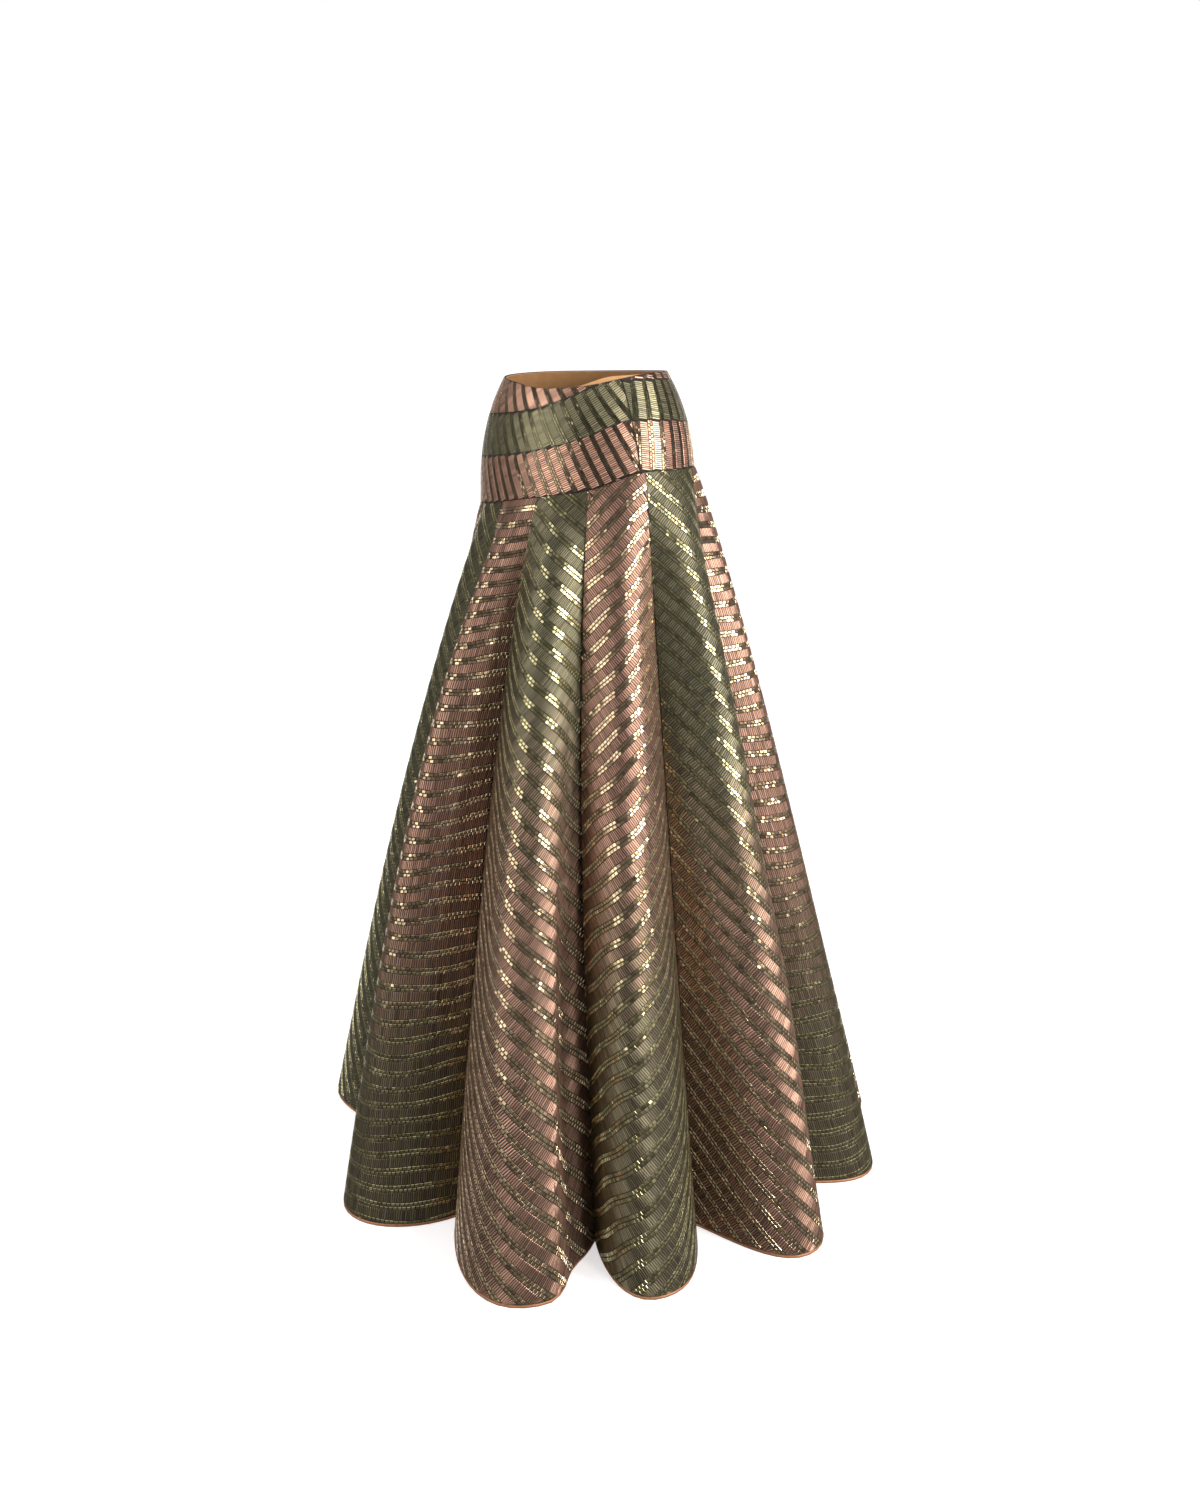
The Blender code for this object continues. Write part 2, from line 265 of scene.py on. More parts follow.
front_angles = np.linspace(-SIDE_SEAM, SIDE_SEAM, FRONT_COLUMNS + 1)
back_angles = np.linspace(SIDE_SEAM, 360.0 - SIDE_SEAM, BACK_COLUMNS + 1)
BAND_ROWS = 8
Band = namedtuple("Band", "name colour angles upper lower slope")
BANDS = (
    Band("yoke_front_top", "rose", front_angles[: WEDGE_COLUMNS + 1], "waist", "wedge", 54),
    Band("yoke_front_green", "green", front_angles, "wedge", "green", 60),
    Band("yoke_front_rose", "rose", front_angles, "green", "low", 65),
    Band("yoke_back_top", "rose", back_angles, "waist", "wedge", -80),
    Band("yoke_back_green", "green", back_angles, "wedge", "green", -80),
    Band("yoke_back_rose", "rose", back_angles, "green", "low", -82),
)

band_sheets = {}
for band in BANDS:
    grid, edges = band_grid(band.angles, band.upper, band.lower, BAND_ROWS)
    run = np.linalg.norm(np.diff(grid[BAND_ROWS // 2], axis=0), axis=1)
    run = np.concatenate(([0.0], np.cumsum(run)))
    band_sheets[band.name] = grid, edges, run
    trimmed = grid.copy()
    for edge, beside in ((0, 1), (-1, -2)):
        step = trimmed[:, beside] - trimmed[:, edge]
        trimmed[:, edge] -= step / np.linalg.norm(step, axis=1, keepdims=True) * SEAM_LAP
    piece = shell(band.name + "_cloth", trimmed, CLOTH)
    piece.data.materials.append(rose_cloth if band.colour == "rose" else green_cloth)
    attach(piece, "root")
    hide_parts(band.name)
    tall = float((edges[1] - edges[0]).max())
    heights = edges[1] - edges[0]
    flat_area = float(((heights[1:] + heights[:-1]) / 2 * np.diff(run)).sum())
    band_sheets[band.name] += (piece, (float(run[-1]), tall), flat_area)

# Twelve gores that hang from the yoke and roll out to the hem in deep cone folds. Each is
# one shell of cloth on its fold, with the soft dents that the weight of the foil puts in
# it. The foil lies on a fine grid, and the cloth takes only some of its points.

LENGTH, BINDING_HIGH = 1.030, 0.0036
HEM_SHIFT = np.array([0.0043, 0.0041])
FLARE, PUFF_BIAS, CREST_HANDLE, SEAM_HANDLE, FLANK_POINTS = 0.90, 0.8, 0.36, 0.38, 61
ACROSS, DOWN, COARSE_ACROSS, COARSE_DOWN = 96, 160, 3, 4

Seam = namedtuple("Seam", "top hem radius sway")
SEAMS = (
    Seam(-15, -31.0, 0.262, -0.008),
    Seam(15, 6.0, 0.268, -0.012),
    Seam(45, 45.0, 0.262, -0.012),
    Seam(73, 73.0, 0.262, -0.004),
    Seam(105, 103.0, 0.256, 0.003),
    Seam(135, 132.0, 0.262, -0.004),
    Seam(165, 161.0, 0.254, 0.004),
    Seam(195, 188.5, 0.260, 0.000),
    Seam(225, 214.0, 0.252, 0.005),
    Seam(255, 238.5, 0.258, -0.004),
    Seam(285, 262.0, 0.250, 0.003),
    Seam(315, 286.5, 0.256, 0.000),
)
Fold = namedtuple("Fold", "name colour crest radius belly_a belly_b puff sway turn slope fade")
FOLDS = (
    Fold("panel_front", "rose", -12.0, 0.364, 18, 36, 0.036, 0.004, 0, -2, 0.68),
    Fold("panel_front_left", "green", 33.2, 0.393, 32, 14, 0.012, -0.0147, 18, 40, 0.40),
    Fold("panel_left_front", "rose", 55.9, 0.378, 26, 19, -0.004, -0.001, 7, -36, 0.58),
    Fold("panel_left", "green", 87.0, 0.388, 16, 20, 0.008, 0.004, 0, 48, 0.50),
    Fold("panel_left_back", "rose", 119.0, 0.382, 20, 14, 0.004, -0.003, 0, -4, 0.66),
    Fold("panel_back_left", "green", 145.0, 0.390, 14, 18, 0.008, 0.005, 0, 40, 0.46),
    Fold("panel_back", "rose", 175.0, 0.380, 18, 14, 0.004, -0.004, 0, -36, 0.60),
    Fold("panel_back_right", "green", 200.0, 0.392, 14, 16, 0.007, 0.003, 0, 44, 0.48),
    Fold("panel_right_back", "rose", 228.5, 0.384, 17, 14, 0.004, -0.003, 0, -3, 0.67),
    Fold("panel_right", "green", 249.5, 0.392, 14, 16, 0.008, 0.004, 0, 40, 0.45),
    Fold("panel_right_front", "rose", 274.0, 0.382, 16, 10, 0.005, -0.002, 0, -36, 0.60),
    Fold("panel_front_right", "green", 293.5, 0.384, 14, -8, 0.012, -0.002, 0, 48, 1.30),
)

Dent = namedtuple("Dent", "panel across down long wide deep turn")
DENTS = (
    Dent("panel_left_front", 0.30, 0.34, 0.110, 0.018, -0.0050, 70),
    Dent("panel_left_front", 0.62, 0.46, 0.140, 0.020, -0.0040, 80),
    Dent("panel_left_front", 0.40, 0.72, 0.160, 0.024, 0.0030, 84),
    Dent("panel_front_left", 0.86, 0.76, 0.300, 0.034, -0.0240, 92),
    Dent("panel_front_left", 0.70, 0.76, 0.280, 0.014, 0.0040, 93),
    Dent("panel_front_left", 0.25, 0.55, 0.170, 0.022, -0.0035, 86),
    Dent("panel_front_left", 0.55, 0.78, 0.130, 0.030, 0.0030, 78),
    Dent("panel_front", 0.55, 0.30, 0.150, 0.024, 0.0025, 88),
    Dent("panel_front", 0.30, 0.62, 0.140, 0.030, -0.0030, 82),
    Dent("panel_front_right", 0.60, 0.40, 0.130, 0.020, -0.0040, 84),
    Dent("panel_left", 0.40, 0.35, 0.120, 0.022, -0.0040, 80),
    Dent("panel_left", 0.60, 0.70, 0.150, 0.026, 0.0035, 96),
    Dent("panel_left_back", 0.35, 0.50, 0.150, 0.024, -0.0040, 84),
    Dent("panel_back_left", 0.60, 0.42, 0.130, 0.022, -0.0035, 98),
    Dent("panel_back", 0.40, 0.60, 0.160, 0.026, -0.0040, 85),
    Dent("panel_back_right", 0.55, 0.36, 0.120, 0.022, -0.0035, 95),
    Dent("panel_right_back", 0.45, 0.66, 0.150, 0.026, -0.0040, 82),
    Dent("panel_right", 0.42, 0.48, 0.140, 0.024, -0.0035, 96),
    Dent("panel_right_front", 0.58, 0.40, 0.130, 0.022, -0.0040, 86),
)


def turned(vector, degrees):
    """A plan vector turned round its start."""
    turn = radians(degrees)
    x, y = vector
    return np.array([cos(turn) * x - sin(turn) * y, sin(turn) * x + cos(turn) * y])


def flank(seam, crest, facing, belly, side):
    """Rounded line in plan from a seam out to the crest of a fold, which faces an angle."""
    chord = crest - seam
    reach = float(np.hypot(*chord))
    leaving = turned(chord / reach, -side * belly)
    along = side * polar(facing + 90.0, 1.0)
    first = seam + leaving * reach * SEAM_HANDLE
    second = crest - along * reach * CREST_HANDLE
    shares = np.linspace(0.0, 1.0, FLANK_POINTS)[:, None]
    return (
        (1 - shares) ** 3 * seam
        + 3 * shares * (1 - shares) ** 2 * first
        + 3 * shares**2 * (1 - shares) * second
        + shares**3 * crest
    )


def evened(line, count):
    """The same line with count + 1 points evenly spaced along it."""
    steps = np.linalg.norm(np.diff(line, axis=0), axis=1)
    run = np.concatenate(([0.0], np.cumsum(steps)))
    shares = np.linspace(0.0, run[-1], count + 1)
    return np.column_stack([np.interp(shares, run, line[:, i]) for i in range(line.shape[1])])


def panel_grid(index):
    """Points over a panel, even along every row, from the yoke down to the hem.

    Known fault, in the part too: the sway moves both side edges square to the panel's own
    crest, so halfway down a panel and its neighbour part by up to 9 mm at their seam.
    """
    fold = FOLDS[index]
    seam_a, seam_b = SEAMS[index], SEAMS[(index + 1) % len(SEAMS)]
    if index + 1 == len(SEAMS):
        seam_b = seam_b._replace(top=seam_b.top + 360.0, hem=seam_b.hem + 360.0)
    crest = polar(fold.crest, fold.radius)
    facing = fold.crest + fold.turn
    out = flank(polar(seam_a.hem, seam_a.radius), crest, facing, fold.belly_a, 1.0)
    back = flank(polar(seam_b.hem, seam_b.radius), crest, facing, fold.belly_b, -1.0)[::-1]
    hem = evened(np.vstack((out, back[1:])), ACROSS) + HEM_SHIFT
    shares = np.linspace(0.0, 1.0, ACROSS + 1)
    angles = seam_a.top + (seam_b.top - seam_a.top) * shares
    low = np.array([yoke_edge(a, "low") + SEAM_GAP for a in angles])
    top = np.array([polar(a, yoke_radius(a, d)) for a, d in zip(angles, low)])
    middle = np.sin(pi * shares) ** 2
    sway = (seam_a.sway * (1 - shares) + seam_b.sway * shares) * (1 - middle) + fold.sway * middle
    puffed = (
        polar(fold.crest, 1.0) * fold.puff * middle[:, None]
        + polar(fold.crest + 90.0, 1.0) * sway[:, None]
    )
    rows = []
    for height in np.linspace(0.0, 1.0, DOWN + 1):
        plan = top + (hem - top) * height**FLARE + sin(pi * height**PUFF_BIAS) * puffed
        depth = low + (LENGTH - BINDING_HIGH - SEAM_GAP - low) * height
        rows.append(evened(np.column_stack((plan, -depth)), ACROSS))
    return np.array(rows)


def dented(name, grid, width, length):
    """The grid with its dents pressed in. They run out at the side seams and the yoke."""
    away = outward(grid)
    v, u = np.mgrid[0 : 1 : (DOWN + 1) * 1j, 0 : 1 : (ACROSS + 1) * 1j]
    for dent in DENTS:
        if dent.panel != name:
            continue
        x = (u - dent.across) * width[:, None]
        y = (v - dent.down) * length
        turn = radians(dent.turn)
        along = x * cos(turn) + y * sin(turn)
        beside = y * cos(turn) - x * sin(turn)
        press = np.exp(-((along / dent.long) ** 2) - (beside / dent.wide) ** 2)
        press *= np.sin(pi * np.clip(u, 0, 1)) ** 0.5 * np.sin(pi * np.clip(v, 0, 0.5)) ** 0.5
        grid = grid + away * (press * dent.deep)[..., None]
    return grid


panel_sheets = {}
for index, fold in enumerate(FOLDS):
    grid = panel_grid(index)
    width = np.linalg.norm(np.diff(grid, axis=1), axis=2).sum(axis=1)
    fall = np.linalg.norm(np.diff(grid[:, ACROSS // 2], axis=0), axis=1)
    fall = np.concatenate(([0.0], np.cumsum(fall)))
    grid = dented(fold.name, grid, width, fall[-1])
    coarse = grid[::COARSE_DOWN, ::COARSE_ACROSS].copy()
    for edge, beside in ((0, 1), (-1, -2)):
        step = coarse[:, beside] - coarse[:, edge]
        coarse[:, edge] -= step / np.linalg.norm(step, axis=1, keepdims=True) * SEAM_LAP
    piece = shell(fold.name + "_cloth", coarse, CLOTH)
    piece.data.materials.append(rose_cloth if fold.colour == "rose" else green_cloth)
    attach(piece, "root")
    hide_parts(fold.name)
    flat_area = float(((width[1:] + width[:-1]) / 2 * np.diff(fall)).sum())
    panel_sheets[fold.name] = grid, width, fall, piece, flat_area

# A bias strip of orange-beige lining cloth sewn inside the waist edge. It peeps out a few
# millimetres above the edge at the wearer's left.

FACING_DEEP, FACING_DROP, FACING_RISE = 0.030, 0.0010, 0.0062
FACING_AT, FACING_SPREAD, FACING_INSET, FACING_CLOTH = 62.0, 17.0, 0.0029, 0.0010
FACING_ROWS = 10

facing = []
around = np.concatenate((front_angles[:-1], back_angles[:-1]))
for r in range(FACING_ROWS + 1):
    line = []
    for angle in around:
        away = (angle - FACING_AT) / FACING_SPREAD
        edge = yoke_edge(angle, "waist")
        high = edge + FACING_DROP - FACING_RISE * exp(-away * away)
        depth = high + (edge + FACING_DEEP - high) * r / FACING_ROWS
        turn = leaned(angle, depth)
        line.append((*polar(turn, yoke_radius(turn, depth) - FACING_INSET), -depth))
    facing.append(line)
facing = np.array(facing)
facing_piece = shell("waist_facing_cloth", facing, FACING_CLOTH, closed=True)
facing_finish, shader = paint("facing_cloth", Roughness=0.62)
where = Wire(Wire.node("ShaderNodeTexCoord").outputs["Object"])
mottle = Wire(Wire.node("ShaderNodeTexNoise", Vector=where, Scale=90.0, Detail=3.0).outputs[0])
twill = Wire(Wire.node("ShaderNodeTexWave", Vector=where, Scale=420.0, Distortion=0.6).outputs[1])
Wire.tree.links.new(
    blended(mottle, tint(188, 132, 84), tint(216, 166, 112)).socket, shader.inputs["Base Color"]
)
bump = Wire.node("ShaderNodeBump", Strength=0.25, Distance=0.0003, Height=twill)
Wire.tree.links.new(bump.outputs[0], shader.inputs["Normal"])
facing_piece.data.materials.append(facing_finish)
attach(facing_piece, "root")
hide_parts("waist_facing")
ring = float(np.linalg.norm(facing[0] - np.roll(facing[0], -1, axis=0), axis=1).sum())

# A narrow folded strip of copper-tan cloth that closes the lower edge of every panel in
# one ring, with a rounded section about three millimetres through.

BINDING_THICK, BINDING_AROUND = 0.0030, 12
BINDING_STEP, BINDING_SQUARENESS = 4, 0.7


def unit(vectors):
    return vectors / np.linalg.norm(vectors, axis=1, keepdims=True)


hems = [panel_sheets[fold.name][0][-1][:-1:BINDING_STEP] for fold in FOLDS]
hem_line = np.concatenate(hems)[:, :2]
before = hem_line - np.roll(hem_line, 1, axis=0)
after = np.roll(hem_line, -1, axis=0) - hem_line
mean = unit(sum(unit(np.column_stack((step[:, 1], -step[:, 0]))) for step in (before, after)))
centre = hem_line - mean * CLOTH / 2
section = []
for i in range(BINDING_AROUND):
    turn = 2 * pi * i / BINDING_AROUND
    out = copysign(abs(cos(turn)) ** BINDING_SQUARENESS, cos(turn)) * BINDING_THICK / 2
    up = copysign(abs(sin(turn)) ** BINDING_SQUARENESS, sin(turn)) * BINDING_HIGH / 2
    height = np.full(len(centre), -LENGTH + BINDING_HIGH / 2 + up)
    section.append(np.column_stack((centre + mean * out, height)))
section = np.array(section)
place = np.arange(section.shape[0] * section.shape[1]).reshape(section.shape[:2])
right, above = np.roll(place, -1, axis=1), np.roll(place, -1, axis=0)
faces = np.stack((place, right, np.roll(right, -1, axis=0), above), axis=2).reshape(-1, 4)
mesh = bpy.data.meshes.new("hem_binding_cloth")
mesh.from_pydata(section.reshape(-1, 3).tolist(), [], faces.tolist())
mesh.polygons.foreach_set("use_smooth", [True] * len(mesh.polygons))
binding_piece = link("hem_binding_cloth", mesh)
bpy.ops.object.select_all(action="DESELECT")
binding_piece.select_set(True)
bpy.context.view_layer.objects.active = binding_piece
bpy.ops.object.mode_set(mode="EDIT")
bpy.ops.mesh.select_all(action="SELECT")
bpy.ops.mesh.normals_make_consistent(inside=False)
bpy.ops.object.mode_set(mode="OBJECT")
binding_finish, shader = paint("binding_cloth", Roughness=0.45, Metallic=0.25)
where = Wire(Wire.node("ShaderNodeTexCoord").outputs["Object"])
mottle = Wire(Wire.node("ShaderNodeTexNoise", Vector=where, Scale=300.0, Detail=2.0).outputs[0])
Wire.tree.links.new(
    blended(mottle, tint(150, 98, 66), tint(206, 146, 104)).socket, shader.inputs["Base Color"]
)
bump = Wire.node("ShaderNodeBump", Strength=0.4, Distance=0.0003, Height=mottle)
Wire.tree.links.new(bump.outputs[0], shader.inputs["Normal"])
binding_piece.data.materials.append(binding_finish)
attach(binding_piece, "root")
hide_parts("hem_binding")

# Thin metal-coated foil is heat-set on the net in rows: a row of narrow standing slats,
# then two rows of small plates laid like bricks. Every slat and plate is its own little
# raised piece. The foil's colour fades down each panel, from rose to green or back.

PLATE_ROWS = 2
SLAT_STANDS, PLATE_STANDS, PLATE_LEAN = 0.00042, 0.00050, 0.00006
SLAT_LONG, SLAT_WIDE, PLATE_LONG, PLATE_WIDE = 0.475, 0.31, 0.43, 0.44
SLAT_HIP, PLATE_BEVELS, SLAT_POINTS = 0.06, (0.10, 0.11), 6
LIFT, EDGE, SLIVER = 0.00012, 0.0006, 0.0008
LAID_TURN, LAID_SIZE, LAID_SHIFT = 0.022, 0.025, 0.00006
rng = np.random.default_rng(11)

# The rows waver with two waves, a long one and a short one half as strong.
Wave = namedtuple("Wave", "across down")
LONG_WAVE, SHORT_WAVE, WAVER_ACROSS = Wave(0.21, 0.34), Wave(0.12, 0.15), 0.6
YOKE_WAVER, PANEL_WAVER = 0.0004, 0.0022

ROSE_SLAT, ROSE_PLATE = tint(180, 138, 116), tint(186, 162, 130)
GREEN_SLAT, GREEN_PLATE = tint(126, 119, 91), tint(168, 160, 120)
Layout = namedtuple("Layout", "period slat pitch plate plate_wide")
PANEL_LAYOUT = Layout(0.0204, 0.0116, 0.00270, 0.0043, 0.0054)
YOKE_LAYOUT = Layout(0.0172, 0.0106, 0.00250, 0.0032, 0.0050)


def foil_finish(name, metal, gloss, uneven):
    """Foil that takes its colour from the piece and is unevenly burnished."""
    finish, shader = paint(name, Metallic=metal)
    where = Wire(Wire.node("ShaderNodeTexCoord").outputs["Object"])
    colour = Wire(Wire.node("ShaderNodeAttribute", {"attribute_name": "foil"}).outputs["Color"])
    rub = Wire(Wire.node("ShaderNodeTexNoise", Vector=where, Scale=420.0, Detail=2.0).outputs[0])
    worn = blended(rub * 0.35, colour, tint(60, 44, 34))
    Wire.tree.links.new(worn.socket, shader.inputs["Base Color"])
    Wire.tree.links.new((rub * uneven + (gloss - uneven / 2)).socket, shader.inputs["Roughness"])
    return finish


slat_foil = foil_finish("slat_foil", 0.75, 0.32, 0.12)
plate_foil = foil_finish("plate_foil", 0.92, 0.22, 0.12)


def corners_of(along, beside, half_long, half_wide, slope):
    """Four corners of small oblongs in the flat cloth, along and beside the rows."""
    turn = radians(slope)
    ahead = np.array([cos(turn), sin(turn)])
    down = np.array([-sin(turn), cos(turn)])
    signs = ((-1, -1), (-1, 1), (1, 1), (1, -1))
    return np.stack(
        [
            (along + a * half_wide)[:, None] * ahead + (beside + b * half_long)[:, None] * down
            for a, b in signs
        ],
        axis=1,
    )


def shaken(corners):
    """Each oblong shifted, turned and resized a very little, as laid by hand."""
    count = len(corners)
    middle = corners.mean(axis=1, keepdims=True)
    turn = rng.normal(0.0, LAID_TURN, (count, 1))
    x, y = np.moveaxis(corners - middle, 2, 0) * rng.normal(1.0, LAID_SIZE, (2, count, 1))
    askew = np.stack((x - y * turn, y + x * turn), axis=2)
    return middle + askew + rng.normal(0.0, LAID_SHIFT, (count, 1, 2))


def rows_over(reach, layout, slope):
    """Slats and plates whose rows cover a flat oblong (x0, x1, y0, y1)."""
    turn = radians(slope)
    x0, x1, y0, y1 = reach
    spots = np.array([(x, y) for x in (x0, x1) for y in (y0, y1)])
    along = spots @ (cos(turn), sin(turn))
    beside = spots @ (-sin(turn), cos(turn))
    first = np.floor(beside.min() / layout.period) - 1
    last = np.ceil(beside.max() / layout.period) + 1
    rows = np.arange(first, last)
    start, stop = along.min() - layout.plate_wide, along.max() + layout.plate_wide
    run, row = np.meshgrid(np.arange(start, stop, layout.pitch), rows)
    middle = row * layout.period + layout.slat / 2
    half_long, half_wide = layout.slat * SLAT_LONG, layout.pitch * SLAT_WIDE
    slats = corners_of(run.ravel(), middle.ravel(), half_long, half_wide, slope)
    plates = []
    half_long, half_wide = layout.plate * PLATE_LONG, layout.plate_wide * PLATE_WIDE
    for i in range(PLATE_ROWS):
        places = np.arange(start, stop, layout.plate_wide) + i * layout.plate_wide / 2
        run, row = np.meshgrid(places, rows)
        share = (i + 0.5) * (layout.period - layout.slat) / PLATE_ROWS
        middle = row * layout.period + layout.slat + share
        plates.append(corners_of(run.ravel(), middle.ravel(), half_long, half_wide, slope))
    return shaken(slats), shaken(np.concatenate(plates))


def sampled(values, u, v):
    """Values of a grid at shares across and down it."""
    rows, columns = values.shape[:2]
    a, b = u * (columns - 1), v * (rows - 1)
    i = np.clip(a.astype(int), 0, columns - 2)
    j = np.clip(b.astype(int), 0, rows - 2)
    a, b = (a - i)[..., None], (b - j)[..., None]
    upper = values[j, i] * (1 - a) + values[j, i + 1] * a
    lower = values[j + 1, i] * (1 - a) + values[j + 1, i + 1] * a
    return upper * (1 - b) + lower * b


def trimmed_to(corners, to_shares, grid, margin, waver, phase):
    """Corners as shares across and down the cloth, cut off at its edges, without slivers."""
    x, y = corners[..., 0], corners[..., 1]
    long_turns = y / LONG_WAVE.down + x / LONG_WAVE.across
    short_turns = y / SHORT_WAVE.down - x / SHORT_WAVE.across
    wave = waver * np.sin(2 * pi * long_turns + phase)
    wave += 0.5 * waver * np.sin(2 * pi * short_turns + 2 * phase)
    u, v = to_shares(x + wave * WAVER_ACROSS, y + wave)
    mu, mv = u.mean(axis=1), v.mean(axis=1)
    near = (mu > -0.1) & (mu < 1.1) & (mv > -0.1) & (mv < 1.1)
    u, v = u[near], v[near]
    u = np.clip(u, margin[0], 1 - margin[0])
    v = np.clip(v, margin[1], 1 - margin[1])
    spots = sampled(grid, u, v)
    sides = np.linalg.norm(spots - np.roll(spots, -1, axis=1), axis=2)
    whole = sides.min(axis=1) > SLIVER
    return u[whole], v[whole]


def inset(values, near, far):
    """A quad's corners moved in towards its middle by shares of its two sides."""
    c0, c1, c2, c3 = (values[:, i] for i in range(4))

    def spot(a, b):
        return (c0 * (1 - a) + c3 * a) * (1 - b) + (c1 * (1 - a) + c2 * a) * b

    ends = ((near, far), (near, 1 - far), (1 - near, 1 - far), (1 - near, far))
    return np.stack([spot(a, b) for a, b in ends], axis=1)


def raised(kind, u, v):
    """Upper corners of every slat or plate as shares, how far they stand, and its faces."""
    count = len(u)
    if kind == "slat":
        ridge = [inset(values, 0.5, SLAT_HIP)[:, :2] for values in (u, v)]
        faces = ((0, 1, 5, 4), (4, 5, 2, 3), (1, 2, 5), (3, 0, 4))
        return *ridge, np.full((count, 2), SLAT_STANDS), faces
    top = [inset(values, *PLATE_BEVELS) for values in (u, v)]
    a, b = rng.normal(0.0, PLATE_LEAN, (count, 2)).T
    stand = PLATE_STANDS + np.stack((-a - b, -a + b, a + b, a - b), axis=1)
    faces = ((4, 5, 6, 7), (0, 1, 5, 4), (1, 2, 6, 5), (2, 3, 7, 6), (3, 0, 4, 7))
    return *top, stand, faces


def keep_ends_sharp(mesh, slat_points):
    """Mark the edges between a slat's two slopes and its ends, so only its ridge is soft."""
    ends = np.zeros(len(mesh.edges) * 2, int)
    mesh.edges.foreach_get("vertices", ends)
    ends = np.sort(ends.reshape(-1, 2), axis=1)
    a, b = (ends % SLAT_POINTS).T
    gable = ((b == 4) & ((a == 0) | (a == 3))) | ((b == 5) & ((a == 1) | (a == 2)))
    gable &= ends[:, 1] < slat_points
    mesh.attributes.new("sharp_edge", "BOOLEAN", "EDGE").data.foreach_set("value", gable)


def foil_piece(name, grid, to_shares, reach, layout, slope, colours, waver):
    """One joined piece that holds every slat and plate on a panel or band."""
    away = outward(grid)
    phase = rng.uniform(0, 2 * pi)
    slats, plates = rows_over(reach, layout, slope)
    margin = (EDGE / (reach[1] - reach[0]), EDGE / (reach[3] - reach[2]))
    points, uvs, faces, shades = [], [], [], []
    smooth, finish_of = [], []
    total = 0
    for kind, corners in (("slat", slats), ("plate", plates)):
        u, v = trimmed_to(corners, to_shares, grid, margin, waver, phase)
        count = len(u)
        top_u, top_v, stand, pattern = raised(kind, u, v)
        au, av = np.concatenate((u, top_u), axis=1), np.concatenate((v, top_v), axis=1)
        lift = np.concatenate((np.full((count, 4), LIFT), LIFT + stand), axis=1)
        spots = sampled(grid, au, av) + sampled(away, au, av) * lift[..., None]
        each = spots.shape[1]
        base = total + np.arange(count)[:, None] * each
        for place in pattern:
            faces.extend((base + np.array(place)).tolist())
            smooth.extend([kind == "slat"] * count)
            finish_of.extend([0 if kind == "slat" else 1] * count)
        points.append(spots.reshape(-1, 3))
        uvs.append(np.stack((au, 1 - av), axis=2).reshape(-1, 2))
        shade = colours(kind, u.mean(axis=1), v.mean(axis=1))
        shades.append(np.repeat(shade, each, axis=0))
        total += count * each
        if kind == "slat":
            slat_points = total
    mesh = bpy.data.meshes.new(name)
    mesh.from_pydata(np.concatenate(points).tolist(), [], faces)
    mesh.polygons.foreach_set("use_smooth", smooth)
    mesh.polygons.foreach_set("material_index", finish_of)
    keep_ends_sharp(mesh, slat_points)
    corner = np.zeros(len(mesh.loops), int)
    mesh.loops.foreach_get("vertex_index", corner)
    mesh.uv_layers.new(name="OFBake").data.foreach_set("uv", np.concatenate(uvs)[corner].ravel())
    colour = mesh.attributes.new("foil", "FLOAT_COLOR", "POINT")
    colour.data.foreach_set("color", np.concatenate(shades).ravel())
    mesh.materials.append(slat_foil)
    mesh.materials.append(plate_foil)
    mesh.update()
    piece = link(name, mesh)
    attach(piece, "root")
    return piece


# Painted light and shade on the yoke's foil beside the panels': its slats are painted brighter for
# the stronger light on the yoke, and its plates darker, as painted shade. Then how uneven all foil
# is, and how long and how uneven the change of colour down a panel is, as shares of its length.
YOKE_ROSE_SLAT_PAINTED_LIGHT, YOKE_GREEN_SLAT_PAINTED_LIGHT, YOKE_PLATE_PAINTED_SHADE = 2.1, 1.8, 0.5
SHADE_SPREAD, SHADE_LEAST, SHADE_MOST = 0.20, 0.5, 1.5
FADE_LONG, FADE_UNEVEN = 0.34, 0.03


def shaded(kind, share_of_green, painted_light_scale=1.0):
    """Foil colours between rose and green, each slat and plate a little different, all times a
    factor that paints light (above one) and shade (below one) on the yoke.
    """
    a, b = (ROSE_SLAT, GREEN_SLAT) if kind == "slat" else (ROSE_PLATE, GREEN_PLATE)
    share = np.clip(share_of_green, 0, 1)[:, None]
    mixed = np.array(a) * (1 - share) + np.array(b) * share
    uneven = rng.normal(1.0, SHADE_SPREAD, (len(mixed), 1)).clip(SHADE_LEAST, SHADE_MOST)
    # The factor is painted light on the yoke's slats and painted shade on its plates.
    mixed[:, :3] *= painted_light_scale * uneven
    return mixed


for band in BANDS:
    grid, edges, run, cloth, flat, flat_area = band_sheets[band.name]
    columns = len(run)

    def to_shares(x, y, edges=edges, run=run, columns=columns):
        place = np.interp(x, run, np.arange(columns))
        place = np.where(x < 0, x / run[-1] * columns, place)
        place = np.where(x > run[-1], columns - 1 + (x - run[-1]) / run[-1] * columns, place)
        high = np.interp(place, np.arange(columns), edges[0])
        low = np.interp(place, np.arange(columns), edges[1])
        return place / (columns - 1), (y - high) / (low - high)

    reach = (0.0, run[-1], edges[0].min(), edges[1].max())
    green = band.colour == "green"
    # The yoke's slats are painted brighter for the light it gets, its plates darker as painted
    # shade.
    slat_painted_light = YOKE_GREEN_SLAT_PAINTED_LIGHT if green else YOKE_ROSE_SLAT_PAINTED_LIGHT
    foil = foil_piece(
        band.name + "_foil",
        grid,
        to_shares,
        reach,
        YOKE_LAYOUT,
        band.slope,
        lambda kind, u, v, green=green, slat_painted_light=slat_painted_light: shaded(
            kind, np.full(len(u), float(green)), slat_painted_light if kind == "slat" else YOKE_PLATE_PAINTED_SHADE
        ),
        YOKE_WAVER,
    )

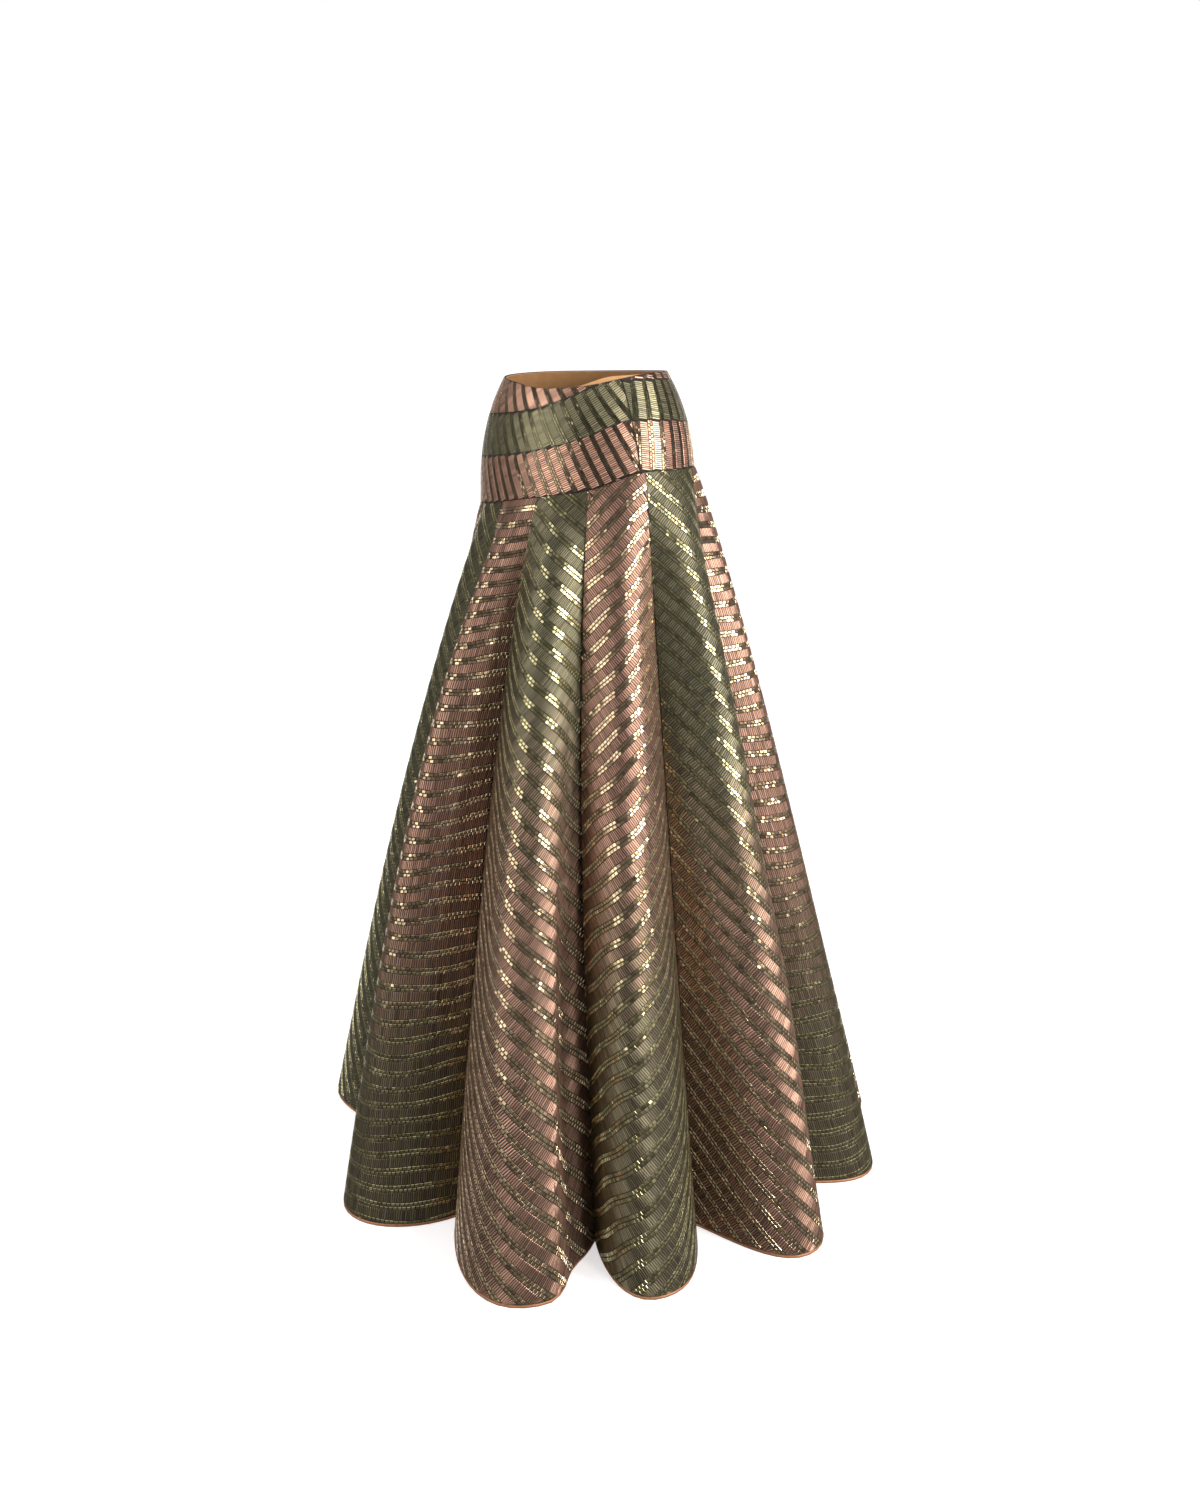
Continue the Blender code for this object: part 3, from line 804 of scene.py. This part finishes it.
for fold in FOLDS:
    grid, width, fall, cloth, flat_area = panel_sheets[fold.name]

    def to_shares(x, y, width=width, fall=fall):
        v = np.interp(y, fall, np.linspace(0, 1, len(fall)))
        v = np.where(y < 0, y / fall[-1], v)
        v = np.where(y > fall[-1], y / fall[-1], v)
        return 0.5 + x / np.interp(v, np.linspace(0, 1, len(fall)), width), v

    def colours(kind, u, v, fold=fold):
        faded = (v + rng.normal(0, FADE_UNEVEN, len(v)) - fold.fade) / FADE_LONG + 0.5
        faded = np.clip(faded, 0, 1)
        faded = faded * faded * (3 - 2 * faded)
        return shaded(kind, faded if fold.colour == "rose" else 1 - faded)

    reach = (-width.max() / 2, width.max() / 2, 0.0, fall[-1])
    foil = foil_piece(
        fold.name + "_foil",
        grid,
        to_shares,
        reach,
        PANEL_LAYOUT,
        fold.slope,
        colours,
        PANEL_WAVER,
    )

# A plain pale floor under the hem, which reflections don't see, two narrow softboxes on
# the right, a broad one on the left, and the camera where the photograph was taken. The
# backdrop is white to the camera. Reflections see a grey room instead, pale behind the
# skirt and overhead.

bpy.ops.object.select_all(action="DESELECT")
bpy.ops.mesh.primitive_circle_add(
    vertices=96, radius=60.0, fill_type="NGON", location=(0, 0, -LENGTH)
)
floor = bpy.context.object
floor.name = "floor"
floor_finish, shader = paint("floor_paper", Roughness=0.9)
shader.inputs["Base Color"].default_value = (0.75, 0.75, 0.75, 1.0)
shader.inputs["Emission Color"].default_value = (1.0, 0.99, 1.0, 1.0)
shader.inputs["Emission Strength"].default_value = 0.52
shader.inputs["Specular IOR Level"].default_value = 0.1
floor.data.materials.append(floor_finish)
floor.visible_glossy = False
floor.visible_diffuse = False

VIEW, AWAY, CAMERA_HIGH, CAMERA_TIP = 44.0, 1.9805, 0.0578, 4.438
PHOTO_TALL, MIDDLE_LEFT_BY, MIDDLE_UP_BY = 1500, 13.6, 300
SENSOR, LENS = 36.0, 35.88
AIM_DEPTH = 0.45
view_turn = radians(VIEW)



def ramped(value, *steps):
    """A grey that goes from one step to the next as the value grows."""
    made = Wire.node("ShaderNodeValToRGB", Fac=value)
    for element, (position, grey) in zip(made.color_ramp.elements, steps):
        element.position, element.color = position, (grey, grey, grey, 1)
    return Wire(made.outputs[0])


world = bpy.data.worlds.new("studio")
bpy.context.scene.world = world
world.use_nodes = True
Wire.tree = world.node_tree
where = Wire.node("ShaderNodeTexCoord").outputs["Generated"]
apart = Wire.node("ShaderNodeSeparateXYZ", Vector=Wire(where))
x, y, z = (Wire(apart.outputs[i]) for i in range(3))
behind = y * cos(view_turn) - x * sin(view_turn)
room = ramped(behind * 0.5 + 0.5, (0.86, 0.17), (0.95, 1.0))
overhead = ramped(z, (0.60, 0.0), (0.90, 1.0))
sky = blended(overhead, room, (1.5, 1.5, 1.5, 1.0))
seen = Wire(Wire.node("ShaderNodeLightPath").outputs["Is Camera Ray"])
backdrop = blended(seen, sky, (1.0, 1.0, 1.0, 1.0))
world.node_tree.links.new(backdrop.socket, world.node_tree.nodes["Background"].inputs["Color"])
world.node_tree.nodes["Background"].inputs["Strength"].default_value = 1.0

Lamp = namedtuple("Lamp", "name angle away high wide tall power")
LAMPS = (
    Lamp("softbox_right", VIEW + 60.0, 2.6, 0.25, 0.7, 1.3, 64.0),
    Lamp("softbox_front", VIEW + 38.0, 2.6, 0.15, 0.45, 1.3, 28.0),
    Lamp("softbox_left", VIEW - 62.0, 3.4, 0.30, 2.4, 2.8, 70.0),
)
for lamp in LAMPS:
    light = bpy.data.lights.new(lamp.name, "AREA")
    light.shape = "RECTANGLE"
    light.size, light.size_y = lamp.wide, lamp.tall
    light.energy = lamp.power
    stand = bpy.data.objects.new(lamp.name, light)
    bpy.context.scene.collection.objects.link(stand)
    spot = polar(lamp.angle, lamp.away)
    stand.location = (spot[0], spot[1], lamp.high)
    tip = np.degrees(np.arctan2(lamp.high + AIM_DEPTH, lamp.away))
    stand.rotation_euler = (radians(90 - tip), 0, radians(lamp.angle))

camera = bpy.data.cameras.new("camera")
camera.sensor_width = camera.sensor_height = SENSOR
camera.sensor_fit = "VERTICAL"
camera.lens = LENS
camera.shift_x = MIDDLE_LEFT_BY / PHOTO_TALL
camera.shift_y = -MIDDLE_UP_BY / PHOTO_TALL
stand = bpy.data.objects.new("camera", camera)
bpy.context.scene.collection.objects.link(stand)
stand.location = (AWAY * sin(view_turn), -AWAY * cos(view_turn), CAMERA_HIGH)
stand.rotation_euler = (radians(90 - CAMERA_TIP), 0, view_turn)
bpy.context.scene.camera = stand
bpy.context.scene.view_settings.view_transform = "Standard"
